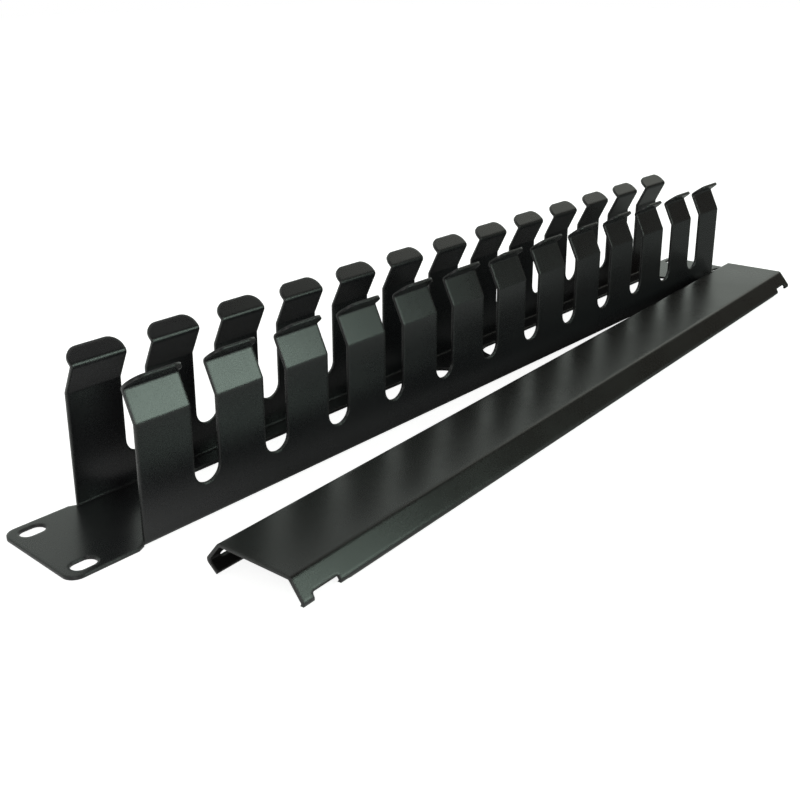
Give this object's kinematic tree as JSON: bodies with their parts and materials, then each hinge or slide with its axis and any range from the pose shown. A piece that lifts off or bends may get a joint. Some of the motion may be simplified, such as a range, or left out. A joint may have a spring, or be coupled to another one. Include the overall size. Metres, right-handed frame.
{
  "type": "horizontal cable manager",
  "caption": "Black folded-steel finger duct with ears for a 19-inch rack, its two combs of hooked fingers guiding cables, and its clip-on cover lying beside it.",
  "frame": {"origin": "centre of the four rack slots, on the rear face of the panel", "axes": "+X along the duct, +Y away from the loose cover, +Z from the rear face along the fingers"},
  "size_m": [0.4826, 0.1124, 0.0615],
  "materials": {
    "black_powder_coat": "satin powder coat"
  },
  "bodies": {
    "root": {"duct_base": "black_powder_coat", "cover": "black_powder_coat"}
  },
  "joints": []
}
